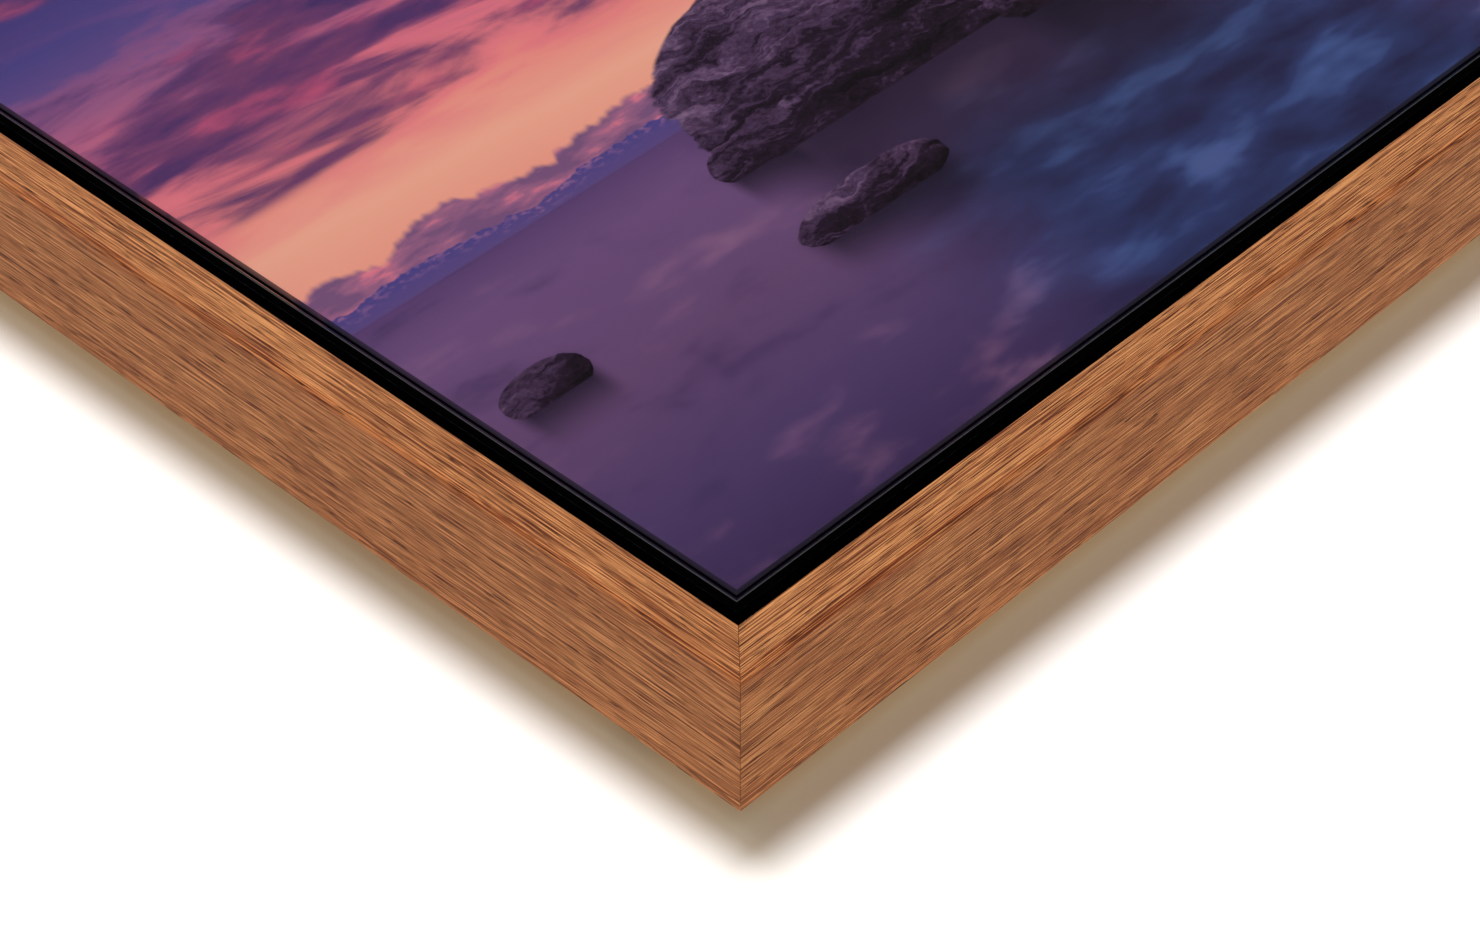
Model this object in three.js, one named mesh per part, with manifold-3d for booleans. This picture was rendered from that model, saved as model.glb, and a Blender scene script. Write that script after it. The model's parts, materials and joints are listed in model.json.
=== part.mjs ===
// A floating frame for a photographic print: four mitred L-shaped rails of stained wood stand proud of a
// print that seems to float inside them, with a dark shadow gap all round. The print is bonded behind a
// clear acrylic sheet and onto an aluminium composite panel. A wooden strainer is taped to the panel's back
// and screwed down onto the rails' ledges from behind. Two strap hangers with swinging D rings carry it.
//
// Millimetres. +X is the picture's right, +Y points into the wall and +Z is up. The origin is the centre of
// the picture on the wall plane, which is the plane that the four bumpers rest against.

import * as THREE from "three";
import { mergeVertices } from "three/addons/utils/BufferGeometryUtils.js";
import Module from "manifold-3d";

const wasm = await Module();
wasm.setup();

// ---- driving dimensions ---------------------------------------------------------------------------------

const PRINT_WIDTH = 450;
const PRINT_HEIGHT = 300;

const RAIL_FACE = 10; // width of the wood seen from the front
const RAIL_DEPTH = 33;
const LEDGE_REACH = 40; // from the outer edge to the ledge's inner end
const LEDGE_THICK = 8;
const OUTER_ARRIS = 1.2; // radius between the front face and the outer side
const INNER_ARRIS = 0.5;
const MITRE_GLUE = 0.1;

const SHADOW_GAP = 7.5; // from the upright's inner face to the print's edge
const RECESS = 1.8; // how far the acrylic's face lies behind the rail's face

const BOND = 0.05; // a film of glue between bonded layers
const GLAZING_THICK = 2.5;
const FILM_THICK = 0.25;
const SKIN_THICK = 0.3;
const CORE_THICK = 2.4;
const TAPE_THICK = 1;

const BATTEN_INSET = 8; // from the print's edge to the strainer's edge
const BATTEN_WIDTH = 20;
const TAPE_WIDTH = 14;
const TAPE_END_SHORT = 6;

const BUMPER_THICK = 5;
const BUMPER_RADIUS = 6;
const BUMPER_FACE_RADIUS = 5;
const BUMPER_FROM_SIDE = 12;
const BUMPER_FROM_END = 30;

const PLAY = 0.3; // clearance that every pocket and pilot hole leaves round its fastener

const WEDGE_STEEL = 0.6; // thickness of the corner wedges' sheet steel
const WEDGE_LIP = 1.4;
const OUTER_WEDGE = { apex: 3, leg: 5, height: 14 };
const INNER_WEDGE = { apex: 20, leg: 9, height: 6 };

const WAVY_NAIL = { length: 16, height: 9, swing: 1.1, bends: 6, steel: 0.5 };

const LEDGE_SCREW = { head: 3.5, headHeight: 2, shank: 1.75, length: 19, sunk: 0.2, tip: 4 };
const LEDGE_SCREW_FROM_EDGE = 33;
const LONG_SIDE_SCREWS = [-150, 0, 150];
const SHORT_SIDE_SCREWS = [-70, 70];

const HANGER_SCREW = { head: 2.8, headHeight: 1.6, shank: 1.3, length: 6.5, tip: 2 };
const HANGER_FROM_EDGE = 20;
const HANGER_HEIGHT = 84; // of the ring's hinge axis above the picture's centre
const STRAP_WIDTH = 12;
const STRAP_LENGTH = 36; // from the hinge axis down to the round end
const STRAP_THICK = 1;
const STRAP_HOLES = [10, 26]; // below the hinge axis
const STRAP_OFF_WOOD = 0.1;
const EYE_OUTER = 2.4; // the strap's rolled end
const EYE_BORE = 1.4;

const RING_WIRE = 1.1;
const RING_HALF_WIDTH = 10.2; // to the wire's centre
const RING_HEIGHT = 17; // from the hinge axis to the centre of the wire at the top
const RING_CORNER = 2.5;
const RING_LEAN = THREE.MathUtils.degToRad(3.5); // it leans on the rail when it points up

const ROUND_SIDES = 16;

// ---- what follows from them -----------------------------------------------------------------------------

const PRINT_INSET = RAIL_FACE + SHADOW_GAP;
const OUTER_WIDTH = PRINT_WIDTH + 2 * PRINT_INSET;
const OUTER_HEIGHT = PRINT_HEIGHT + 2 * PRINT_INSET;

const BACK = -BUMPER_THICK; // the rails' back
const FRONT = BACK - RAIL_DEPTH;
const LEDGE_FRONT = BACK - LEDGE_THICK;

// The bonded sheets, from the acrylic's face towards the wall. Each layer is [front, back].
let stackFront = FRONT + RECESS;
function nextLayer(thick) {
  const layer = [stackFront, stackFront + thick];
  stackFront += thick + BOND;
  return layer;
}
const GLAZING = nextLayer(GLAZING_THICK);
const FILM = nextLayer(FILM_THICK);
const FRONT_SKIN = nextLayer(SKIN_THICK);
const CORE = nextLayer(CORE_THICK);
const BACK_SKIN = nextLayer(SKIN_THICK);
const TAPE = nextLayer(TAPE_THICK);
const BATTEN = nextLayer(LEDGE_FRONT - BOND - stackFront);

const BATTEN_START = PRINT_INSET + BATTEN_INSET; // from the frame's outer edge
const BATTEN_END = BATTEN_START + BATTEN_WIDTH;
const TAPE_START = BATTEN_START + (BATTEN_WIDTH - TAPE_WIDTH) / 2;

const HINGE_DEPTH = BACK + STRAP_OFF_WOOD + EYE_OUTER;

// ---- finishes -------------------------------------------------------------------------------------------

function finish(color, roughness, metalness) {
  return new THREE.MeshStandardMaterial({ color, roughness, metalness });
}
const WOOD = finish(0x9c623f, 0.55, 0);
const RAW_WOOD = finish(0xcfb58a, 0.8, 0);
const ACRYLIC = finish(0xe8eef2, 0.05, 0);
const PHOTO_PAPER = finish(0x4a3566, 0.3, 0);
const ALUMINIUM = finish(0xb9bcc0, 0.35, 0.9);
const BLACK_PLASTIC = finish(0x121212, 0.5, 0);
const TAPE_FOAM = finish(0xe6e6e0, 0.7, 0);
const ZINC_STEEL = finish(0xb8b9bb, 0.35, 1);
const BRIGHT_STEEL = finish(0x8f9296, 0.4, 1);
const SOFT_RUBBER = finish(0x2a2a2c, 0.85, 0);

// ---- solids ---------------------------------------------------------------------------------------------

/** A closed geometry as a manifold-3d solid, with its shared vertices merged. */
function solidOf(geometry) {
  const bare = geometry.clone();
  bare.deleteAttribute("normal");
  bare.deleteAttribute("uv");
  const merged = mergeVertices(bare, 1e-4);
  return new wasm.Manifold(
    new wasm.Mesh({
      numProp: 3,
      vertProperties: merged.attributes.position.array,
      triVerts: new Uint32Array(merged.index.array),
    }),
  );
}

/** A manifold-3d solid as a geometry. */
function geometryOf(solid) {
  const mesh = solid.getMesh();
  const geometry = new THREE.BufferGeometry();
  geometry.setAttribute("position", new THREE.BufferAttribute(mesh.vertProperties, 3));
  geometry.setIndex(new THREE.BufferAttribute(mesh.triVerts, 1));
  geometry.computeVertexNormals();
  return geometry;
}

function indexed(vertices, index) {
  const geometry = new THREE.BufferGeometry();
  geometry.setAttribute("position", new THREE.Float32BufferAttribute(vertices, 3));
  geometry.setIndex(index);
  geometry.computeVertexNormals();
  return geometry;
}

/** A closed outline's points, without any that repeats the one before it. */
function withoutRepeats(points) {
  const previous = (i) => points[(i + points.length - 1) % points.length];
  return points.filter((point, i) => point.distanceTo(previous(i)) > 1e-3);
}

/** A box from its low corner to its high corner. */
function block(low, high) {
  const size = high.map((value, axis) => value - low[axis]);
  const middle = high.map((value, axis) => (value + low[axis]) / 2);
  return new THREE.BoxGeometry(...size).translate(...middle);
}

/** A prism of an outline in X and Z, from y = 0 towards the front. */
function prism(outline, height) {
  const shape = outline instanceof THREE.Shape ? outline : new THREE.Shape(outline);
  const options = { depth: height, bevelEnabled: false, curveSegments: ROUND_SIDES / 2 };
  return new THREE.ExtrudeGeometry(shape, options).rotateX(Math.PI / 2);
}

/** A solid of revolution about Y from [radius, y] points that start and end on the axis. */
function turned(points) {
  const profile = points.map(([radius, y]) => new THREE.Vector2(radius, y));
  return new THREE.LatheGeometry(profile, ROUND_SIDES);
}

/**
 * A rail of the L section. It runs along X with its outer edge on z = 0 and its ledge towards +Z. Each end
 * is mitred: a point that lies z inside the outer edge ends z short of the rail's full length.
 */
function mitredRail(length) {
  const section = new THREE.Shape();
  section.moveTo(0, BACK);
  section.lineTo(LEDGE_REACH, BACK);
  section.lineTo(LEDGE_REACH, LEDGE_FRONT);
  section.lineTo(RAIL_FACE, LEDGE_FRONT);
  section.lineTo(RAIL_FACE, FRONT + INNER_ARRIS);
  section.absarc(RAIL_FACE - INNER_ARRIS, FRONT + INNER_ARRIS, INNER_ARRIS, 0, -Math.PI / 2, true);
  section.lineTo(OUTER_ARRIS, FRONT);
  section.absarc(OUTER_ARRIS, FRONT + OUTER_ARRIS, OUTER_ARRIS, -Math.PI / 2, -Math.PI, true);
  const outline = withoutRepeats(section.getPoints(4)).reverse(); // anticlockwise
  const count = outline.length;
  const half = (length - MITRE_GLUE) / 2;
  const vertices = [-1, 1].flatMap((end) => outline.flatMap((p) => [end * (half - p.x), p.y, p.x]));
  const index = [];
  for (let i = 0; i < count; i++) {
    const next = (i + 1) % count;
    index.push(i, count + i, next, next, count + i, count + next);
  }
  for (const [a, b, c] of THREE.ShapeUtils.triangulateShape(outline, [])) {
    index.push(a, b, c, count + a, count + c, count + b);
  }
  return indexed(vertices, index);
}

/** A corner wedge of folded sheet steel: two legs at a right angle with lips at their ends, grown all round. */
function wedge({ apex, leg, height }, grow = 0) {
  const near = -grow;
  const far = leg + grow;
  const inside = WEDGE_STEEL + grow;
  const lipSide = leg - WEDGE_STEEL - grow;
  const lip = WEDGE_LIP + grow;
  const leg1 = [[near, near], [far, near], [far, lip], [lipSide, lip], [lipSide, inside], [inside, inside]];
  const leg2 = [[inside, lipSide], [lip, lipSide], [lip, far], [near, far]];
  const outline = [...leg1, ...leg2].map(([x, z]) => new THREE.Vector2(apex + x, apex + z));
  return prism(outline, height + grow);
}

/** A corrugated nail: a strip of zigzag steel that runs along Z and is driven in along Y. */
function wavyNail(grow = 0) {
  const { length, height, swing, bends, steel } = WAVY_NAIL;
  const side = [];
  for (let i = 0; i <= bends; i++) {
    const x = i % 2 ? swing : -swing;
    const z = (i / bends - 0.5) * (length + 2 * grow);
    side.push([x, z]);
  }
  const half = steel / 2 + grow;
  const right = side.map(([x, z]) => new THREE.Vector2(x + half, z));
  const left = side.reverse().map(([x, z]) => new THREE.Vector2(x - half, z));
  return prism([...right, ...left], height + grow);
}

/** A cross recess for a screwdriver, cut down from y = top. */
function withCrossRecess(screw, top, reach, depth) {
  const blade = reach / 4;
  const across = block([-reach, top - depth, -blade], [reach, top + 1, blade]);
  const upright = block([-blade, top - depth, -reach], [blade, top + 1, reach]);
  return geometryOf(solidOf(screw).subtract(solidOf(across)).subtract(solidOf(upright)));
}

/** A countersunk wood screw along Y, with its head's flat face at y = 0 and its tip towards the front. */
function countersunkScrew({ head, headHeight, shank, length, tip }) {
  const rim = 0.3;
  const body = turned([
    [0, -length],
    [shank, -length + tip],
    [shank, -headHeight - rim],
    [head, -rim],
    [head, 0],
    [0, 0],
  ]);
  return withCrossRecess(body, 0, head * 0.6, headHeight * 0.7);
}

/** The room that a countersunk screw takes, open above its head. */
function countersunkPocket({ head, headHeight, shank, length }) {
  return turned([
    [0, -length - PLAY],
    [shank + PLAY, -length - PLAY],
    [shank + PLAY, -headHeight - PLAY],
    [head + PLAY, -PLAY],
    [head + PLAY, 1],
    [0, 1],
  ]);
}

/** A pan-head screw along Y, whose head sits on the plane y = 0. */
function panScrew({ head, headHeight, shank, length, tip }) {
  const crown = head * 0.75;
  const body = turned([
    [0, -length],
    [shank, -length + tip],
    [shank, 0],
    [head, 0],
    [head, headHeight * 0.45],
    [crown, headHeight * 0.88],
    [crown / 2, headHeight],
    [0, headHeight],
  ]);
  return withCrossRecess(body, headHeight, head * 0.55, headHeight * 0.65);
}

function pilotHole({ shank, length }) {
  return turned([
    [0, -length - PLAY],
    [shank + PLAY, -length - PLAY],
    [shank + PLAY, 1],
    [0, 1],
  ]);
}

/** A hanger's strap, with its hinge axis along X through the local origin and its plate hanging down. */
function hangerStrap() {
  const half = STRAP_WIDTH / 2;
  const low = half - STRAP_LENGTH;
  const plate = new THREE.Shape();
  plate.moveTo(half, 0);
  plate.lineTo(-half, 0);
  plate.lineTo(-half, low);
  plate.absarc(0, low, half, Math.PI, 2 * Math.PI, false);
  for (const down of STRAP_HOLES) {
    const hole = new THREE.Path();
    hole.absarc(0, -down, HANGER_SCREW.shank + PLAY, 0, 2 * Math.PI, true);
    plate.holes.push(hole);
  }
  const sheet = prism(plate, STRAP_THICK).translate(0, STRAP_THICK - EYE_OUTER, 0);
  const wall = [
    [EYE_BORE, -half],
    [EYE_OUTER, -half],
    [EYE_OUTER, half],
    [EYE_BORE, half],
    [EYE_BORE, -half],
  ].map(([radius, along]) => new THREE.Vector2(radius, along));
  const eye = new THREE.LatheGeometry(wall, 2 * ROUND_SIDES).rotateZ(Math.PI / 2);
  return geometryOf(solidOf(sheet).add(solidOf(eye)));
}

/** A D ring of round wire: its straight side runs along X through the local origin and its bow is above. */
function dRing() {
  const bowCentre = RING_HEIGHT - RING_HALF_WIDTH;
  const cornerX = RING_HALF_WIDTH - RING_CORNER;
  const path = new THREE.Path();
  path.moveTo(-cornerX, 0);
  path.lineTo(cornerX, 0);
  path.absarc(cornerX, RING_CORNER, RING_CORNER, -Math.PI / 2, 0, false);
  path.lineTo(RING_HALF_WIDTH, bowCentre);
  path.absarc(0, bowCentre, RING_HALF_WIDTH, 0, Math.PI, false);
  path.lineTo(-RING_HALF_WIDTH, RING_CORNER);
  path.absarc(-cornerX, RING_CORNER, RING_CORNER, Math.PI, 1.5 * Math.PI, false);
  const line = withoutRepeats(path.getPoints(5));
  const sides = 12;
  const vertices = [];
  const index = [];
  line.forEach((p, i) => {
    const before = line[(i + line.length - 1) % line.length];
    const after = line[(i + 1) % line.length];
    const along = after.clone().sub(before).normalize();
    for (let k = 0; k < sides; k++) {
      const turn = (2 * Math.PI * k) / sides;
      const out = RING_WIRE * Math.cos(turn);
      vertices.push(p.x - along.y * out, RING_WIRE * Math.sin(turn), p.y + along.x * out);
      const here = i * sides;
      const ahead = ((i + 1) % line.length) * sides;
      const next = (k + 1) % sides;
      index.push(here + k, ahead + k, here + next, here + next, ahead + k, ahead + next);
    }
  });
  return indexed(vertices, index);
}

/** A soft bumper stuck on the frame's back at y = 0, with its contact face towards the wall. */
function bumper() {
  const shoulder = BUMPER_THICK - (BUMPER_RADIUS - BUMPER_FACE_RADIUS);
  return turned([
    [0, BOND],
    [BUMPER_RADIUS, BOND],
    [BUMPER_RADIUS, shoulder],
    [BUMPER_FACE_RADIUS, BUMPER_THICK],
    [0, BUMPER_THICK],
  ]);
}

// ---- assembly -------------------------------------------------------------------------------------------

const frame = new THREE.Group();
const woodwork = []; // the pieces that fasteners are driven into
const pockets = []; // the room that each fastener takes, placed as its fastener is

function add(parent, name, geometry, material) {
  const mesh = new THREE.Mesh(geometry, material.clone());
  mesh.name = name;
  parent.add(mesh);
  return mesh;
}

/** Adds a fastener at a place in the parent's frame, and remembers the pocket that it needs in the wood. */
function drive(parent, name, geometry, material, place, pocket) {
  const mesh = add(parent, name, geometry, material);
  mesh.position.set(...place);
  pockets.push({ mesh, pocket });
  return mesh;
}

/** The frame of one side: X runs along the rail, Z points from the outer edge towards the picture. */
function sideFrame(turn, x, z) {
  const group = new THREE.Group();
  group.position.set(x, 0, z);
  group.rotation.y = turn;
  frame.add(group);
  return group;
}

const LONG = { length: OUTER_WIDTH, screws: LONG_SIDE_SCREWS, butts: false };
const SHORT = { length: OUTER_HEIGHT, screws: SHORT_SIDE_SCREWS, butts: true };
const SIDES = {
  bottom: { ...LONG, turn: 0, x: 0, z: -OUTER_HEIGHT / 2 },
  right: { ...SHORT, turn: -Math.PI / 2, x: OUTER_WIDTH / 2, z: 0 },
  top: { ...LONG, turn: Math.PI, x: 0, z: OUTER_HEIGHT / 2 },
  left: { ...SHORT, turn: Math.PI / 2, x: -OUTER_WIDTH / 2, z: 0 },
};

// Each side: its rail, the strainer batten on the rail's ledge, the tape on the batten and the ledge screws.
for (const [side, { length, screws, butts, turn, x, z }] of Object.entries(SIDES)) {
  const group = sideFrame(turn, x, z);
  woodwork.push(add(group, `rail_${side}`, mitredRail(length), WOOD));

  // The long battens run through and the short ones butt between them.
  const battenHalf = length / 2 - (butts ? BATTEN_END + PLAY : BATTEN_START);
  const batten = block([-battenHalf, BATTEN[0], BATTEN_START], [battenHalf, BATTEN[1], BATTEN_END]);
  woodwork.push(add(group, `strainer_${side}`, batten, RAW_WOOD));
  const tapeHalf = battenHalf - TAPE_END_SHORT;
  const tape = block([-tapeHalf, TAPE[0], TAPE_START], [tapeHalf, TAPE[1], TAPE_START + TAPE_WIDTH]);
  add(group, `bond_tape_${side}`, tape, TAPE_FOAM);

  screws.forEach((along, i) => {
    const name = `ledge_screw_${side}_${i + 1}`;
    const place = [along, BACK - LEDGE_SCREW.sunk, LEDGE_SCREW_FROM_EDGE];
    const pocket = countersunkPocket(LEDGE_SCREW);
    drive(group, name, countersunkScrew(LEDGE_SCREW), ZINC_STEEL, place, pocket);
  });
}

// Each mitre: two steel wedges driven in from the back, one in the uprights and one in the ledges.
const CORNERS = {
  bottom_left: { turn: 0, right: -1, up: -1 },
  bottom_right: { turn: -Math.PI / 2, right: 1, up: -1 },
  top_right: { turn: Math.PI, right: 1, up: 1 },
  top_left: { turn: Math.PI / 2, right: -1, up: 1 },
};
for (const [corner, { turn, right, up }] of Object.entries(CORNERS)) {
  const group = sideFrame(turn, (right * OUTER_WIDTH) / 2, (up * OUTER_HEIGHT) / 2);
  for (const [zone, size] of Object.entries({ outer: OUTER_WEDGE, inner: INNER_WEDGE })) {
    const name = `v_nail_${corner}_${zone}`;
    drive(group, name, wedge(size), BRIGHT_STEEL, [0, BACK, 0], wedge(size, PLAY));
  }

  // A corrugated nail across the butt joint between the strainer's battens.
  const nailX = right * (OUTER_WIDTH / 2 - BATTEN_START - BATTEN_WIDTH / 2);
  const nailZ = up * (OUTER_HEIGHT / 2 - BATTEN_END);
  const nailPlace = [nailX, BATTEN[1] - BOND, nailZ];
  drive(frame, `corrugated_nail_${corner}`, wavyNail(), BRIGHT_STEEL, nailPlace, wavyNail(PLAY));

  const pad = add(frame, `bumper_${corner}`, bumper(), SOFT_RUBBER);
  const padX = OUTER_WIDTH / 2 - BUMPER_FROM_SIDE;
  const padZ = OUTER_HEIGHT / 2 - BUMPER_FROM_END;
  pad.position.set(right * padX, BACK, up * padZ);
}

// The bonded picture, from the front: acrylic, print, and the composite panel's skin, core and skin.
function sheet(name, [front, back], material) {
  const low = [-PRINT_WIDTH / 2, front, -PRINT_HEIGHT / 2];
  const high = [PRINT_WIDTH / 2, back, PRINT_HEIGHT / 2];
  add(frame, name, block(low, high), material);
}
sheet("glazing_sheet", GLAZING, ACRYLIC);
sheet("print_film", FILM, PHOTO_PAPER);
sheet("panel_front_skin", FRONT_SKIN, ALUMINIUM);
sheet("panel_core", CORE, BLACK_PLASTIC);
sheet("panel_back_skin", BACK_SKIN, ALUMINIUM);

// The strap hangers on the side rails. Each ring turns about X in its strap's eye.
for (const [side, right] of Object.entries({ left: -1, right: 1 })) {
  const hanger = new THREE.Group();
  hanger.position.set(right * (OUTER_WIDTH / 2 - HANGER_FROM_EDGE), HINGE_DEPTH, HANGER_HEIGHT);
  frame.add(hanger);
  add(hanger, `hanger_strap_${side}`, hangerStrap(), ZINC_STEEL);
  const ring = add(hanger, `hanger_ring_${side}`, dRing(), ZINC_STEEL);
  ring.rotation.x = RING_LEAN;
  STRAP_HOLES.forEach((down, i) => {
    const place = [0, STRAP_THICK - EYE_OUTER + BOND, -down];
    const name = `hanger_screw_${side}_${i + 1}`;
    drive(hanger, name, panScrew(HANGER_SCREW), ZINC_STEEL, place, pilotHole(HANGER_SCREW));
  });
}

// Cut every pocket out of the wood that it reaches.
frame.updateMatrixWorld(true);
for (const piece of woodwork) {
  const toPiece = piece.matrixWorld.clone().invert();
  const pieceBox = new THREE.Box3().setFromBufferAttribute(piece.geometry.getAttribute("position"));
  let solid = solidOf(piece.geometry);
  for (const { mesh, pocket } of pockets) {
    const tool = pocket.clone().applyMatrix4(toPiece.clone().multiply(mesh.matrixWorld));
    const toolBox = new THREE.Box3().setFromBufferAttribute(tool.getAttribute("position"));
    if (toolBox.intersectsBox(pieceBox)) solid = solid.subtract(solidOf(tool));
  }
  piece.geometry = geometryOf(solid);
}

export default frame;
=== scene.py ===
# %% [markdown]
# # A floating frame, dressed in Blender
# A floating frame holds a photographic print so that it seems to hover: the print stops short of
# the wood, and a dark gap runs all round it. The CAD model has every part in its true place, so
# this script moves nothing. It gives each part the surface that a person would see: stained
# open-grained wood, polished acrylic, zinc-plated hangers, raw softwood and a printed picture.

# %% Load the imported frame
import json
import math

import bmesh
import bpy
import numpy as np
from mathutils import Matrix, Vector


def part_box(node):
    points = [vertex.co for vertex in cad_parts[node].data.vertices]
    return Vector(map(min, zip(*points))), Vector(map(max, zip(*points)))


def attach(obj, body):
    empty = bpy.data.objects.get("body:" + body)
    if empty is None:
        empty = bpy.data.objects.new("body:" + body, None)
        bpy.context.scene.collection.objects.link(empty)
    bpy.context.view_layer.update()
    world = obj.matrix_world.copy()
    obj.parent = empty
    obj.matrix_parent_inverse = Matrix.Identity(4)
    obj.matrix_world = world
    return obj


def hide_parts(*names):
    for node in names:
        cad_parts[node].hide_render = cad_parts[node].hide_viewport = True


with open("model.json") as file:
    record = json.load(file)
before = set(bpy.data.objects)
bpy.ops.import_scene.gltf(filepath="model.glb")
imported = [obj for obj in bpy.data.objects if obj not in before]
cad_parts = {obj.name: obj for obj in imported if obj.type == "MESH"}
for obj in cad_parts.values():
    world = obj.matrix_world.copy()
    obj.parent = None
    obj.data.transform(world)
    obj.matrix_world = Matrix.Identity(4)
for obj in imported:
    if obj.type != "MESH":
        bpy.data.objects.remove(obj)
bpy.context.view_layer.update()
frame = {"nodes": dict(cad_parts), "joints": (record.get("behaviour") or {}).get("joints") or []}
nodes = frame["nodes"]

# %% [markdown]
# ## Sizes
# Everything that can be read from the frame is read from it: a node's box says where its faces
# lie. Only the details that a box doesn't show, such as the step of the rails' L section, are
# repeated here.

# %% Sizes, in metres
MM = 0.001
RAIL_FACE = 10 * MM
LEDGE_THICK = 8 * MM
OUTER_ARRIS = 1.2 * MM
INNER_ARRIS = 0.5 * MM
HAIR = 0.03 * MM  # how far a dressed face lies inside the CAD face that it replaces
ARRIS = 0.15 * MM  # the hidden edges of a rail, only just broken with sandpaper
MERGE_DISTANCE = 0.001 * MM
FLAT_ANGLE = math.radians(0.5)

rail_low, rail_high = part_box("rail_bottom")
side_low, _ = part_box("rail_left")
outer_low = Vector((side_low.x, rail_low.y, rail_low.z))
outer_high = Vector((-side_low.x, rail_high.y, -rail_low.z))
FRONT, BACK = rail_low.y, rail_high.y
LEDGE_REACH = rail_high.z - rail_low.z
print("rails from", round(FRONT / MM, 2), "to", round(BACK / MM, 2), "mm deep")

# %% [markdown]
# ## The camera
# The picture is seen from below its lower left corner, close to, with a long lens. The camera
# keeps the wall's normal upright in the view, which puts the corner at the bottom and lets the
# two rails run up and away from it.

# %% The camera
VIEW_FROM = outer_low + Vector((-314.6, -441.6, -298.8)) * MM
VIEW_ALONG = Vector((0.5383, 0.6698, 0.5114)).normalized()
UPWARDS = Vector((0, -1, 0))
LENS = 87.5
SENSOR_WIDTH = 36

camera = bpy.data.objects.new("camera", bpy.data.cameras.new("camera"))
bpy.context.scene.collection.objects.link(camera)
bpy.context.scene.camera = camera
camera.data.lens = LENS
camera.data.sensor_width = SENSOR_WIDTH
camera.data.clip_start = 10 * MM
sideways = VIEW_ALONG.cross(UPWARDS).normalized()
axes = Matrix((sideways, sideways.cross(VIEW_ALONG), -VIEW_ALONG)).transposed()
camera.matrix_world = Matrix.Translation(VIEW_FROM) @ axes.to_4x4()
print("camera stands", round((VIEW_FROM - outer_low).length, 3), "m from the corner")

# %% [markdown]
# ## Arithmetic on shader sockets
# A procedural finish is a formula: a mask times a colour, plus a little noise. Typed as nodes and
# links, a formula is hard to read, so one small class wraps a socket and turns Python's operators
# into Math nodes.

# %% The class that turns Python arithmetic into nodes


class Wire:
    """One value in a shader. Arithmetic on it adds Math nodes, and node() adds any other kind."""

    def __init__(self, tree, socket=None):
        self.tree = tree
        self.socket = socket

    def node(self, kind, settings=None, sockets=None, out=0):
        """Adds a node. Its settings come first, then a value or a wire for each of its sockets."""
        made = self.tree.nodes.new(kind)
        for name, value in (settings or {}).items():
            if name == "stops":
                set_stops(made.color_ramp, value)
            else:
                setattr(made, name, value)
        for name, value in (sockets or {}).items():
            if isinstance(value, Wire):
                self.tree.links.new(value.socket, made.inputs[name])
            else:
                made.inputs[name].default_value = value
        return Wire(self.tree, made.outputs[out] if made.outputs else None)

    def math(self, operation, *values):
        return self.node("ShaderNodeMath", {"operation": operation}, dict(enumerate(values)))

    def __add__(self, other):
        return self.math("ADD", self, other)

    def __sub__(self, other):
        return self.math("SUBTRACT", self, other)

    def __rsub__(self, other):
        return self.math("SUBTRACT", other, self)

    def __mul__(self, other):
        return self.math("MULTIPLY", self, other)

    def __truediv__(self, other):
        return self.math("DIVIDE", self, other)

    def __pow__(self, other):
        return self.math("POWER", self, other)

    def __abs__(self):
        return self.math("ABSOLUTE", self)

    __radd__ = __add__
    __rmul__ = __mul__

    def least(self, other):
        return self.math("MINIMUM", self, other)

    def most(self, other):
        return self.math("MAXIMUM", self, other)

    def rise(self, start, end):
        """A smooth step from 0 at start to 1 at end. It falls instead if end is below start."""
        sockets = {"Value": self, "From Min": start, "From Max": end}
        return self.node("ShaderNodeMapRange", {"interpolation_type": "SMOOTHSTEP"}, sockets)

    def ramp(self, stops):
        """The colour that a row of (place, colour) stops gives at this value, from 0 to 1."""
        return self.node("ShaderNodeValToRGB", {"stops": stops}, {"Fac": self})

    def between(self, low, high, blend="MIX"):
        """A colour that goes from low to high as this wire goes from 0 to 1."""
        settings = {"data_type": "RGBA", "blend_type": blend, "clamp_factor": True}
        return self.node("ShaderNodeMix", settings, {0: self, 6: low, 7: high}, out=2)

    def parts(self):
        """The X, Y and Z of a vector."""
        made = self.node("ShaderNodeSeparateXYZ", {}, {"Vector": self})
        return [Wire(self.tree, output) for output in made.socket.node.outputs]

    def vector(self, x, y, z=0.0):
        return self.node("ShaderNodeCombineXYZ", {}, {"X": x, "Y": y, "Z": z})

    def noise(self, detail=2.0, roughness=0.5, distortion=0.0):
        """Cloudy noise from 0 to 1 at this vector, with features about one unit wide."""
        sockets = {"Vector": self, "Scale": 1.0, "Detail": detail, "Roughness": roughness}
        return self.node("ShaderNodeTexNoise", {}, sockets | {"Distortion": distortion})


def set_stops(ramp, stops):
    while len(ramp.elements) < len(stops):
        ramp.elements.new(1.0)
    for element, (place, shade) in zip(ramp.elements, stops):
        element.position = place
        element.color = shade


def tint(red, green, blue):
    """A colour as screens give it, from 0 to 255, as the linear light that shaders use."""
    scaled = [value / 255 for value in (red, green, blue)]
    linear = [v / 12.92 if v <= 0.04045 else ((v + 0.055) / 1.055) ** 2.4 for v in scaled]
    return (*linear, 1.0)


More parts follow.
